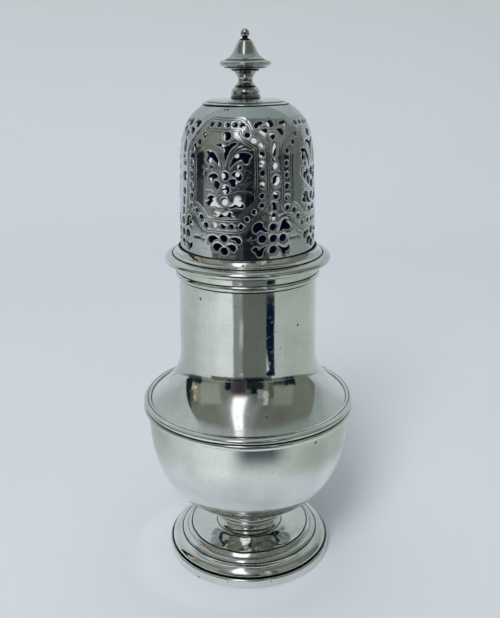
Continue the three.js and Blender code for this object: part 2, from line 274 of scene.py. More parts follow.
class Shader:
    """Node tree of one material or of the world."""

    def __init__(self, tree):
        self.tree = tree
        tree.nodes.clear()

    def node(self, kind, inputs, out=0, **settings):
        """New node. Its inputs, by name or number, are linked to shader values or set to constants."""
        made = self.tree.nodes.new("ShaderNode" + kind)
        for name, value in settings.items():
            setattr(made, name, value)
        for key, value in inputs.items():
            if isinstance(value, Val):
                self.tree.links.new(value.socket, made.inputs[key])
            else:
                made.inputs[key].default_value = value
        return Val(self, made.outputs[out]) if made.outputs else None

    def mix(self, share, a, b):
        return self.node("Mix", {0: share, 6: a, 7: b}, out=2, data_type="RGBA")

    def distance(self, where, place):
        return self.node("VectorMath", {0: where, 1: place}, out=1, operation="DISTANCE")

    def parts(self, vector):
        return [self.node("SeparateXYZ", {"Vector": vector}, out=k) for k in range(3)]

    def noise(self, where, scale, detail=3.0, rough=0.5, stretch=None, turn=(0, 0, 0)):
        if stretch:
            where = self.node("Mapping", {"Vector": where, "Scale": stretch, "Rotation": turn})
        return self.node("TexNoise", {"Vector": where, "Scale": scale, "Detail": detail, "Roughness": rough})


def shaded(name):
    """New material and its empty node tree."""
    material = bpy.data.materials.new(name)
    material.use_nodes = True
    return material, Shader(material.node_tree)


def rgb(*levels):
    """Display levels from 0 to 255 as a linear colour."""
    return tuple((v / 255 / 12.92) if v < 10.3 else ((v / 255 + 0.055) / 1.055) ** 2.4 for v in levels) + (1.0,)


def scaled(colour, red, green, blue):
    return colour[0] * red, colour[1] * green, colour[2] * blue, 1.0


# Upright scuffs on the neck, then single pits and dark dashes: place and radius in millimetres
SCUFFS = [(-12.8, -15.8, 79.5, 1.6), (11.2, -17.0, 79.7, 0.9), (-15.6, -13.2, 74.0, 0.9)]
MARKS = [
    (-1.2, -20.7, 99.8, 0.3), (18.4, -23.5, 53.3, 0.34), (20.5, -23.1, 53.3, 0.3), (-4.8, -28.5, 54.5, 0.26),
    (-15.7, -20.8, 0.4, 0.4), (-6.6, -25.2, 1.9, 0.24), (6.6, -25.2, 1.9, 0.22), (-10.6, -9.2, 139.5, 0.4),
    (-9.7, -10.0, 139.5, 0.36), (-4.9, -12.1, 139.6, 0.4), (-5.7, -11.7, 139.6, 0.36),
]
# Share by which heights shrink, so that a scuff is longer than it is wide
SCUFF_SQUASH = 0.15


def silver(name, bright, dull, tarnish_and_shade_colour, tarnish_and_shade_amount, gloss, scratch_amount, edge_highlight_colour=None, metal=1.0, marks=()):
    """Silver rubbed by hands: cloudy polish, hairlines, pits, tarnish and painted shade in the hollows, and a painted
    highlight along edges that carry one.
    """
    material, s = shaded(name)
    where = s.node("TexCoord", {}, out=3)
    cloud = s.noise(where, 55, 4)
    blotch = s.noise(where, 170, 3, 0.6)
    grain = s.noise(where, 1500, 2)
    hair = [
        s.noise(where, 900, 2, 0.6, stretch=stretch, turn=turn).within(0.61, 0.72)
        for stretch, turn in (
            ((1, 1, 0.03), (0.5, 0.2, 0)),
            ((0.03, 1, 1), (0, 0.4, 0.9)),
            ((1, 0.04, 1), (0.7, 0, 0.4)),
        )
    ]
    scratches = (hair[0] + hair[1] + hair[2]) * scratch_amount
    pit_field = s.node("TexVoronoi", {"Vector": where, "Scale": 230.0, "Randomness": 1.0}, feature="F1")
    speck_field = s.node("TexVoronoi", {"Vector": where, "Scale": 620.0, "Randomness": 1.0}, feature="F1")
    pits = (1 - pit_field.within(0.06, 0.12)) * blotch.within(0.56, 0.6)
    specks = (1 - speck_field.within(0.05, blotch * 0.3)) * s.noise(where, 75, 2).within(0.6, 0.7)
    for x, y, z, radius in marks:
        away = s.distance(where, (x * MM, y * MM, z * MM))
        pits = pits + (1 - away.within(radius * MM * 0.6, radius * MM * 1.3))
    for x, y, z, radius in SCUFFS if marks else ():
        spot = s.node("Mapping", {"Vector": where, "Scale": (1, 1, SCUFF_SQUASH)})
        away = s.distance(spot, (x * MM, y * MM, z * MM * SCUFF_SQUASH))
        lines = s.noise(where, 2600, 2, 0.6, stretch=(1, 1, 0.05)).within(0.5, 0.66)
        scratches = scratches + (1 - away.within(radius * MM * 0.3, radius * MM)) * lines * 1.4
    dents = s.noise(where, 120, 1).within(0.66, 0.78)
    recess = s.node("Attribute", {}, out=2, attribute_name="recess")
    # Tarnish and painted shade in hollows, grooves and joints between pieces
    left = (recess * (0.45 + s.noise(where, 300, 3, 0.7))).within(0.3, 0.75) * tarnish_and_shade_amount
    smear = s.noise(where, 40, 4, 0.6, stretch=(1, 1, 3))
    tone = s.mix((cloud * 0.75 + smear * 0.25).within(0.36, 0.68), bright, dull)
    tone = s.mix(scratches * 0.28, tone, dull)
    tone = s.mix(left, tone, tarnish_and_shade_colour)
    tone = s.mix((pits + specks * 0.7) * 0.85, tone, rgb(34, 31, 28))
    shine = gloss + cloud.within(0.3, 0.8) * 0.035 + scratches * 0.12 + left * 0.2 + pits * 0.3 + specks * 0.2
    # Painted highlight along edges that carry it, which also makes them rougher
    if edge_highlight_colour:
        edge_highlight = s.node("Attribute", {}, out=2, attribute_name="edge_highlight")
        tone = s.mix(edge_highlight, tone, edge_highlight_colour)
        shine = shine + edge_highlight * 0.45
    height = cloud * 0.55 + blotch * 0.12 + grain * 0.006 - scratches * 0.03 - pits * 0.25 - dents * 0.12
    bump = s.node("Bump", {"Strength": 0.35, "Distance": 0.00016, "Height": height})
    surface = s.node(
        "BsdfPrincipled", {"Base Color": tone, "Metallic": metal, "Roughness": shine, "Normal": bump}
    )
    s.node("OutputMaterial", {"Surface": surface})
    return material


polished = silver("silver_polished", rgb(236, 238, 235), rgb(210, 213, 209), rgb(30, 28, 26), 0.95, 0.055, 1.0,
                  marks=MARKS)
sawn = silver("silver_sawn", rgb(214, 216, 219), rgb(184, 186, 190), rgb(22, 22, 32), 0.95, 0.05, 1.0,
              edge_highlight_colour=rgb(250, 252, 252), marks=MARKS)
cast = silver("silver_cast", rgb(212, 215, 213), rgb(176, 178, 176), rgb(22, 22, 34), 0.97, 0.06, 1.0)
within = silver("silver_inside", rgb(204, 203, 197), rgb(172, 170, 163), rgb(70, 66, 60), 0.6, 0.2, 0.8)
shade = silver("silver_dark_inside", rgb(52, 48, 132), rgb(38, 34, 104), rgb(10, 10, 18), 0.95, 0.5, 0.3, metal=0.4)


# Turned pieces

rim_low, rim_high, rim_reach = box_mm("foot_rim")
foot_low, foot_high, foot_reach = box_mm("foot")
collar_low, collar_high, collar_reach = box_mm("stem_collar")
bowl_low, bowl_high, bowl_reach = box_mm("bowl")
girdle_low, girdle_high, girdle_reach = box_mm("girdle")
upper_low, upper_high, _ = box_mm("upper_body")
band_low, band_high, band_reach = box_mm("mouth_band")
cover_low, cover_high, cover_reach = box_mm("cover_rim")
bezel_low, bezel_high, bezel_reach = box_mm("cover_bezel")
dome_low, dome_high, dome_reach = box_mm("pierced_dome")
crown_low, crown_high, crown_reach = box_mm("crown_disc")
finial_low, finial_high, finial_reach = box_mm("finial")

lathe("foot_rim", rounded([
    (23.6, rim_low), (rim_reach - 0.1, rim_low, 0.3), (rim_reach, 1.4, 0.6), (rim_reach - 0.05, 2.65, 0.25),
    (rim_reach - 0.4, rim_high, 0.25), (rim_reach - 0.9, rim_high), (23.6, rim_high), (23.6, rim_low),
]), polished, "body")

foot_outer = rounded([
    (foot_reach, foot_low), (foot_reach, 3.7, 0.5), (24.3, 4.95, 1.1), (23.3, 5.55, 0.5), (22.4, 5.66, 0.5),
    (21.7, 5.92, 0.5), (21.3, 6.42, 0.4), (20.8, 6.58, 0.4), (20.1, 6.62, 0.3), (19.8, 6.85, 0.25),
    (19.5, 7.2, 0.25), (19.3, 7.34, 0.15), (19.15, 7.5, 0.15), (19.05, 7.85, 0.2), (18.8, foot_high - 3.74, 0.12),
    (18.55, 7.74, 0.25), (17.3, 7.5, 1.8), (14.5, 7.3, 2.0), (11.9, 7.45, 1.0), (10.9, 7.75, 0.4), (10.3, 8.2, 0.4),
    (9.5, 8.5, 0.35), (8.8, 9.1, 0.4), (8.5, 9.9, 0.7), (9.1, 11.1, 0.6), (10.4, foot_high, 0.1),
    (0, foot_high),
])
foot_inner = [(0, 10.8), (7.5, 10.8), (7.5, 8.2), (8.9, 7.3), (14, 6.6), (18.0, 6.7), (19.0, 5.6), (24.2, 3.0)]
lathe("foot", foot_outer + [list(p) for p in foot_inner] + foot_outer[:1],
      polished, "body", uneven=0.04, dents=0.1)

lathe("stem_collar", rounded([
    (0, collar_low), (11.0, collar_low), (11.25, 12.0, 0.2), (11.05, 12.4, 0.2), (11.2, 13.6, 0.5),
    (11.6, 14.15, 0.25), (12.8, 14.3, 0.3), (13.1, 14.9, 0.4), (12.7, 15.5, 0.25), (12.45, 15.75, 0.1),
    (12.6, 16.0, 0.1), (collar_reach - 0.1, 16.2, 0.3), (collar_reach, 16.9, 0.4), (collar_reach - 0.4, 17.5, 0.3),
    (12.4, 17.8, 0.3), (10.2, collar_high), (0, collar_high),
]), cast, "body", uneven=0.03)

# The bowl's round is a superellipse between its seat on the collar and its widest level
WALL = 0.8
BOWL_POWER, BOWL_SEAT, BOWL_DEPTH, BOWL_STEPS = 2 / 2.35, 10.2, 31, 60
bowl_round = [
    (BOWL_SEAT + (bowl_reach - BOWL_SEAT) * math.sin(a) ** BOWL_POWER,
     bowl_low + BOWL_DEPTH * (1 - math.cos(a) ** BOWL_POWER))
    for a in np.linspace(0, math.pi / 2, BOWL_STEPS)
]
bowl_back = [
    (r - WALL * math.sin(a), z + WALL * math.cos(a))
    for (r, z), a in zip(bowl_round[::-1], np.linspace(math.pi / 2, 0, BOWL_STEPS))
]
bowl_line = [(0, bowl_low), *bowl_round, (bowl_reach, bowl_high),
             (bowl_reach - WALL, bowl_high), *bowl_back, (0, bowl_low + WALL)]
lathe("bowl", [list(p) for p in bowl_line], polished, "body", uneven=0.05, lining=within)

lathe("girdle", rounded([
    (31.25, girdle_low), (32.1, girdle_low, 0.25), (girdle_reach, 50.8, 0.5), (girdle_reach - 0.1, 51.6, 0.35),
    (31.95, 51.95, 0.15), (32.0, 52.1, 0.1), (girdle_reach - 0.1, 52.4, 0.3), (girdle_reach - 0.15, 53.2, 0.4),
    (31.7, girdle_high - 0.2, 0.3), (31.2, girdle_high, 0.3), (30.3, girdle_high, 0.15), (30.2, 53.5), (31.25, 52.9),
    (31.25, girdle_low),
]), polished, "body", uneven=0.03)

sweep = bezier((30.4, 53.2), (25.99, 56.57), (20.99, 60.24), (20.6, 68.5), steps=48)
upper_outer = [(bowl_reach, upper_low), (bowl_reach, 52.9)] + sweep + [(20.15, upper_high - 0.3), (20.0, upper_high)]
upper_inner = [(19.1, upper_high), (19.1, 82), (19.55, 82)] + [
    (r - 0.72, z - 0.34 * min(1, (68.5 - z) / 10)) for r, z in sweep[::-1]
] + [(30.2, upper_low)]
lathe("upper_body", [list(p) for p in upper_outer + upper_inner + upper_outer[:1]],
      polished, "body", uneven=0.05, lining=within)

lathe("mouth_band", rounded([
    (20.5, band_low), (20.9, band_low, 0.1), (band_reach - 0.05, 92.5, 0.3), (band_reach, 93.2, 0.3),
    (21.05, 93.75, 0.15), (20.95, 93.9, 0.1), (21.1, 94.1, 0.1), (21.15, 95.7, 0.2), (21.0, band_high),
    (20.5, band_high), (20.5, band_low),
]), polished, "body")

lathe("cover_rim", rounded([
    (17.95, cover_low), (22.2, cover_low, 0.3), (23.8, 96.45, 0.6), (cover_reach, 97.15, 0.6), (24.15, 98.1, 0.6),
    (23.1, 98.7, 0.5), (22.15, 98.7, 0.15), (22.05, 98.55, 0.1), (21.9, 98.65, 0.1), (21.75, 99.0, 0.2),
    (20.95, 99.35, 0.5), (20.45, 100.2, 0.4), (20.25, cover_high, 0.1), (19.75, cover_high), (19.75, 97.3),
    (17.95, 97.3), (17.95, cover_low),
]), polished, "cover", lining=shade)

lathe("cover_bezel", rounded([
    (17.95, bezel_low), (18.6, bezel_low, 0.2), (bezel_reach, bezel_low + 0.5, 0.2), (bezel_reach, bezel_high),
    (17.95, bezel_high), (17.95, bezel_low),
]), within, "cover", lining=shade)

lathe("crown_disc", rounded([
    (0, crown_low), (crown_reach, crown_low, 0.1), (crown_reach, 140.75, 0.2), (11.5, 141.0, 0.2),
    (10.75, 141.05, 0.15), (10.45, 141.35, 0.3), (9.4, 141.75, 0.5), (4.6, crown_high), (0, crown_high),
]), polished, "cover", lean=(-0.3, -0.35))

finial_outline = [
    (0, finial_low), (4.2, finial_low), (4.2, 142.15, 0.1), (4.0, 142.4, 0.1), (4.1, 142.6, 0.1), (3.9, 142.75, 0.08),
    (4.0, 143.4, 0.3), (3.85, 144.1, 0.4), (3.3, 144.75, 0.3), (2.95, 144.9, 0.1), (2.85, 145.02, 0.06),
    (2.95, 145.2, 0.1), (2.65, 145.45, 0.25), (2.1, 146.1, 0.5), (2.0, 146.9, 0.5), (2.25, 147.7, 0.5),
    (2.7, 148.4, 0.5), (3.5, 149.05, 0.4), (3.95, 149.3, 0.1), (3.9, 149.42, 0.05), (4.3, 149.6, 0.2),
    (5.4, 149.75, 0.2), (5.8, 149.95, 0.1), (5.85, 150.15, 0.06), (6.5, 150.3, 0.3), (7.05, 150.75, 0.25),
    (finial_reach, 151.05, 0.15), (7.05, 151.35, 0.25), (6.4, 151.75, 0.3), (5.7, 151.85, 0.1), (5.5, 151.93, 0.06),
    (5.3, 152.15, 0.2), (4.6, 152.5, 0.6), (3.8, 153.25, 0.6), (3.2, 154.15, 0.8), (2.6, 155.4, 0.8),
    (2.1, 156.5, 0.4), (1.75, 156.95, 0.15), (1.5, 157.02, 0.08), (1.45, 157.25, 0.1), (0.95, 157.4, 0.15),
    (0.72, 157.55, 0.1), (0.8, 157.8, 0.1), (1.2, 158.2, 0.3), (1.27, 158.75, 0.4), (1.1, 159.4, 0.4),
    (0.6, 159.88, 0.3), (0, finial_high),
]
lathe("finial", rounded(finial_outline), cast, "cover", lean=(-0.28, -0.33), hollow_reach=0.35, sides=96)


# Pierced dome

def dome_curve():
    """Radius, height and outward direction along the dome's outer line, by length from its foot."""
    low = bezier((dome_reach, dome_low), (dome_reach, 111.15), (18.9, 125.0), steps=120)
    high = bezier((18.9, 125.0), (18.603, 133.008), (17.003, 137.474), (12.0, dome_high), steps=160)
    points = np.array(low + high[1:])
    length = np.concatenate([[0], np.cumsum(np.linalg.norm(np.diff(points, axis=0), axis=1))])
    way = np.gradient(points, length, axis=0)
    way /= np.linalg.norm(way, axis=1)[:, None]
    return length, points, np.stack([way[:, 1], -way[:, 0]], 1)


dome_length, dome_points, dome_outward = dome_curve()
PLAIN_BELOW, PIERCED = 4.7, 36.0
QUARTER = dome_reach * math.pi / 2
ALL_ROUND = 4 * QUARTER


def sheet_place(x, y):
    """Radius, height and outward direction for a place on the unrolled sheet."""
    columns = [dome_points[:, 0], dome_points[:, 1], dome_outward[:, 0], dome_outward[:, 1]]
    return [np.interp(y, dome_length, c) for c in columns]


# Azimuths of the wide and narrow panels' middle lines. The cutter spaced them by eye.
WIDE_TURNS = (-18.2, 67.6, 159.0, 250.4)
NARROW_TURNS = (22.4, 111.6, 203.0, 295.1)

# Places are thousandths of a quarter turn from the panel's middle line, and of the pierced height
THOUSANDTHS = 1000

# Sawn holes
WIDE_SAWN = [
    [(-100, 809), (-73, 819), (-44, 826), (-21, 814), (8, 806), (40, 815), (66, 828), (95, 833), (112, 826),
     (96, 808), (71, 794), (49, 773), (34, 745), (16, 708), (4, 667), (-4, 707), (-12, 747), (-26, 786),
     (-62, 801)],
    [(-196, 759), (-165, 767), (-128, 763), (-97, 748), (-76, 727), (-60, 704), (-49, 669), (-50, 627),
     (-62, 640), (-74, 668), (-90, 686), (-115, 701), (-128, 684), (-153, 676), (-178, 685), (-187, 706),
     (-170, 725), (-179, 745)],
    [(246, 735), (223, 753), (182, 761), (136, 758), (95, 737), (62, 701), (46, 668), (44, 642), (67, 662),
     (100, 688), (136, 706), (158, 707), (169, 686), (195, 677), (217, 689), (225, 713)],
    [(-162, 555), (-158, 585), (-127, 604), (-89, 606), (-61, 589), (-70, 573), (-100, 567), (-116, 546),
     (-145, 541)],
    [(61, 605), (96, 623), (136, 622), (158, 598), (152, 570), (130, 551), (110, 561), (100, 582), (75, 587)],
    [(-102, 547), (-84, 556), (-58, 549), (-44, 537), (-50, 510), (-70, 488), (-93, 499), (-107, 521)],
    [(31, 556), (63, 573), (95, 569), (112, 544), (97, 516), (67, 510), (50, 530)],
    [(-172, 421), (-150, 441), (-116, 445), (-88, 428), (-82, 398), (-57, 373), (-20, 351), (-64, 350),
     (-107, 364), (-143, 360), (-177, 369), (-185, 392), (-152, 407)],
    [(24, 360), (56, 381), (80, 402), (85, 427), (109, 443), (137, 440), (149, 423), (127, 410), (151, 402),
     (173, 382), (165, 361), (129, 359), (96, 365), (66, 353)],
    [(-98, 314), (-66, 326), (-42, 318), (-15, 312), (14, 320), (37, 332), (66, 317), (57, 302), (84, 291),
     (47, 284), (17, 293), (-15, 288), (-53, 283), (-108, 286), (-82, 301)],
    [(-168, 106), (-160, 132), (-131, 145), (-93, 145), (-64, 126), (-89, 117), (-112, 105), (-127, 84),
     (-153, 85)],
    [(45, 128), (74, 143), (111, 142), (141, 127), (147, 103), (127, 88), (104, 98), (90, 115), (68, 118)],
    [(-118, 64), (-96, 87), (-62, 91), (-34, 81), (-23, 66), (-49, 54), (-61, 35), (-88, 24), (-111, 39)],
    [(13, 70), (39, 85), (76, 87), (102, 69), (98, 44), (77, 28), (53, 35), (40, 54)],
]
NARROW_SAWN = [
    [(-178, 950), (-164, 974), (-125, 989), (-83, 982), (-68, 963), (-102, 959), (-132, 949), (-145, 935),
     (-168, 934)],
    [(92, 969), (125, 987), (175, 988), (197, 965), (174, 933), (147, 927), (136, 944), (131, 957), (99, 955)],
    [(-127, 918), (-98, 927), (-60, 932), (-37, 917), (-61, 895), (-82, 875), (-96, 869), (-114, 884)],
    [(-28, 896), (-10, 903), (9, 898), (28, 900), (34, 883), (22, 862), (3, 846), (-15, 857), (-28, 872)],
    [(47, 920), (71, 929), (101, 930), (130, 910), (120, 881), (91, 873), (78, 892), (63, 906)],
    [(4, 836), (24, 823), (31, 787), (29, 751), (20, 730), (2, 728), (-15, 740), (-22, 769), (-15, 805)],
    [(-28, 395), (-1, 400), (25, 391), (18, 365), (25, 339), (-4, 335), (-24, 344), (-19, 369)],
    [(-37, 318), (-11, 322), (15, 314), (13, 292), (6, 265), (-18, 263), (-37, 271), (-31, 296)],
    [(-204, 199), (-198, 230), (-171, 251), (-139, 257), (-115, 248), (-109, 223), (-90, 200), (-57, 174),
     (-99, 178), (-127, 192), (-150, 184), (-172, 169), (-190, 178)],
    [(26, 176), (44, 191), (56, 224), (72, 254), (103, 268), (131, 259), (121, 241), (143, 226), (164, 199),
     (156, 179), (120, 183), (89, 186), (60, 174)],
    [(-62, 82), (-89, 75), (-124, 60), (-150, 45), (-163, 65), (-187, 67), (-207, 52), (-197, 34), (-177, 23),
     (-167, 0), (-141, -12), (-118, 1), (-110, 31), (-89, 59)],
    [(24, 76), (51, 64), (86, 50), (120, 51), (143, 70), (151, 38), (136, 17), (113, 9), (108, -8), (74, 5),
     (62, 31), (42, 52)],
]

# Drilled holes, with their radius in millimetres
WIDE_DRILLED = [
    (13, 877, 1.2), (-134, 650, 0.57), (136, 655, 0.62), (2, 590, 1.2), (8, 492, 1.2), (-3, 405, 1.1),
    (-10, 129, 1.12), (-7, 32, 1.15),
]
NARROW_DRILLED = [
    (-4, 969, 1.15), (-1, 703, 0.62), (14, 657, 0.82), (18, 554, 1.35), (14, 444, 0.95), (-17, 212, 1.08),
    (-118, 127, 1.15), (-16, 125, 1.1), (79, 123, 1.15), (-19, 40, 1.15),
]
BEADS = [
    (-173, 961), (-87, 961), (6, 959), (83, 961), (161, 957), (206, 885), (266, 846), (334, 810), (339, 746),
    (339, 679), (341, 612), (340, 525), (333, 448), (332, 378), (262, 330), (198, 278), (144, 223), (61, 221),
    (-16, 220), (-101, 222), (-190, 219), (-243, 274), (-297, 320), (-376, 346), (-373, 422), (-373, 504),
    (-375, 585), (-374, 674), (-362, 766), (-285, 822), (-228, 879),
]
BEAD_RADIUS = 0.76

# Graver's lines: veins, flourishes and the outlines of leaves
WIDE_LINES = [
    [(-208, 778), (-167, 789), (-117, 784), (-68, 762), (-40, 722), (-27, 674), (-24, 633)],
    [(-200, 797), (-144, 803), (-86, 792), (-43, 763), (-20, 718)],
    [(34, 635), (29, 676), (49, 717), (84, 753), (136, 780), (187, 793), (239, 782)],
    [(53, 745), (84, 778), (117, 800), (160, 812)],
    [(120, 640), (166, 637), (197, 632), (237, 619), (251, 608)],
    [(64, 455), (85, 467), (135, 480), (185, 480), (225, 472), (260, 459)],
    [(-209, 249), (-134, 256), (-43, 254), (63, 254), (124, 261)],
    [(2, 455), (-20, 436), (-52, 445), (-97, 463), (-145, 477), (-182, 478)],
    [(-145, 640), (-170, 628), (-195, 632), (-212, 650)],
    [(-180, 560), (-200, 590), (-196, 615)],
    [(175, 560), (195, 585), (215, 590), (235, 580)],
    [(135, 530), (170, 525), (205, 535), (235, 550)],
    [(-329, 118), (-260, 122), (-211, 112)],
    [(-260, 122), (-225, 107)],
    [(-262, 122), (-236, 138)],
    [(198, 117), (233, 113), (275, 119)],
    [(218, 113), (236, 98)],
    [(218, 116), (238, 134)],
]
NARROW_LINES = [
    [(-176, 912), (-157, 895), (-124, 875), (-86, 860)],
    [(-60, 575), (-40, 600), (-12, 617), (27, 621), (61, 610)],
    [(-50, 540), (-25, 500), (13, 492), (59, 505)],
    [(-62, 670), (-45, 676), (-26, 686)],
    [(-55, 820), (-48, 780), (-50, 735)],
    [(60, 830), (64, 780), (60, 735)],
    [(-60, 470), (-62, 400), (-58, 330)],
    [(58, 460), (60, 400), (56, 330)],
    [(-80, 945), (-60, 950), (-42, 946)],
    [(150, 900), (165, 890), (170, 870)],
    [(-150, 285), (-100, 291), (-60, 270)],
    [(150, 300), (100, 305), (50, 290)],
    [(236, 178), (262, 150), (270, 118)],
    [(270, 150), (290, 140)],
]
# Border lines beside a wide panel's beads, then the sizes of grooves and eased rims, in millimetres
BORDER_OFFSETS = (-1.85, -1.25, 1.25, 1.85)
GROOVE_HALF, GROOVE_DEPTH = 0.15, 0.05
RIM_STEP, RIM_DROP = 0.16, 0.07


def curve_through(points, closed, spacing):
    """Evenly spaced points on a smooth line through the given ones."""
    p = np.array(points, float)
    count = len(p)
    fine = []
    for i in range(count if closed else count - 1):
        pick = [(i + k) % count if closed else min(max(i + k, 0), count - 1) for k in (-1, 0, 1, 2)]
        a, b, c, d = p[pick]
        for t in np.arange(8) / 8:
            square, cube = 2 * a - 5 * b + 4 * c - d, 3 * b - a - 3 * c + d
            fine.append(0.5 * (2 * b + (c - a) * t + square * t**2 + cube * t**3))
    fine.append(p[0] if closed else p[-1])
    fine = np.array(fine)
    length = np.concatenate([[0], np.cumsum(np.linalg.norm(np.diff(fine, axis=0), axis=1))])
    steps = max(8 if closed else 2, round(length[-1] / spacing))
    at = np.linspace(0, length[-1], steps + 1)
    even = np.stack([np.interp(at, length, fine[:, k]) for k in (0, 1)], 1)
    return even[:-1] if closed else even


def sideways(line, closed):
    """Unit directions square to a line, to its right."""
    if closed:
        way = np.roll(line, -1, 0) - np.roll(line, 1, 0)
    else:
        way = np.gradient(line, axis=0)
    way = way / np.linalg.norm(way, axis=1)[:, None]
    return np.stack([way[:, 1], -way[:, 0]], 1)


def inside(points, loop):
    """Which points lie in a closed loop."""
    x, y = points[:, 0], points[:, 1]
    hit = np.zeros(len(points), bool)
    for (ax, ay), (bx, by) in zip(loop, np.roll(loop, -1, 0)):
        if ay == by:
            continue
        hit ^= ((ay > y) != (by > y)) & (x < (bx - ax) * (y - ay) / (by - ay) + ax)
    return hit


def tree_of(points):
    """Search tree of places on the unrolled sheet."""
    tree = KDTree(len(points))
    for i, (x, y) in enumerate(points):
        tree.insert((x, y, 0), i)
    tree.balance()
    return tree


def gap_to(tree, x, y):
    """Distance to the nearest point of a tree, also across the joint of the unrolled sheet."""
    shifts = (0,) if abs(x) < ALL_ROUND / 2 - 4 else (0, -ALL_ROUND, ALL_ROUND)
    return min(tree.find((x + shift, y, 0))[2] for shift in shifts)


def pattern():
    """Outlines of all holes and all graver's lines on the unrolled sheet, a little uneven from panel to panel."""
    loops, lines = [], []
    rng = random.Random(11)
    for turns, sawn, drilled, strokes, wide in (
        (WIDE_TURNS, WIDE_SAWN, WIDE_DRILLED, WIDE_LINES, True),
        (NARROW_TURNS, NARROW_SAWN, NARROW_DRILLED, NARROW_LINES, False),
    ):
        for index, turn in enumerate(turns):
            slip = 0 if index == 0 else 0.12
            middle = math.radians(turn) * dome_reach

            def place(x, y, shift=(0, 0)):
                across, up = x / THOUSANDTHS, y / THOUSANDTHS
                return middle + across * QUARTER + shift[0], PLAIN_BELOW + up * PIERCED + shift[1]

            def slipped():
                return rng.uniform(-slip, slip), rng.uniform(-slip, slip)

            for shares in sawn:
                shift = slipped()
                loops.append(curve_through([place(x, y, shift) for x, y in shares], True, 0.24))
            beads = [(x, y, BEAD_RADIUS * rng.uniform(0.9, 1.08)) for x, y in BEADS] if wide else []
            for x, y, radius in drilled + beads:
                cx, cy = place(x, y, slipped())
                widen = dome_reach / sheet_place(cx, cy)[0]
                swings = np.linspace(0, 2 * math.pi, max(14, round(radius * 22)), endpoint=False) + rng.uniform(0, 1)
                loops.append(np.stack([cx + radius * widen * np.cos(swings), cy + radius * np.sin(swings)], 1))
            lines += [curve_through([place(x, y) for x, y in stroke], False, 0.3) for stroke in strokes]
            if wide:
                path = curve_through([place(x, y) for x, y in BEADS], True, 0.3)
                smooth = path.copy()
                for _ in range(10):
                    smooth = (np.roll(smooth, 1, 0) + smooth + np.roll(smooth, -1, 0)) / 3
                away = sideways(smooth, True)
                lines += [np.concatenate([smooth + away * d, (smooth + away * d)[:1]]) for d in BORDER_OFFSETS]
    return loops, lines


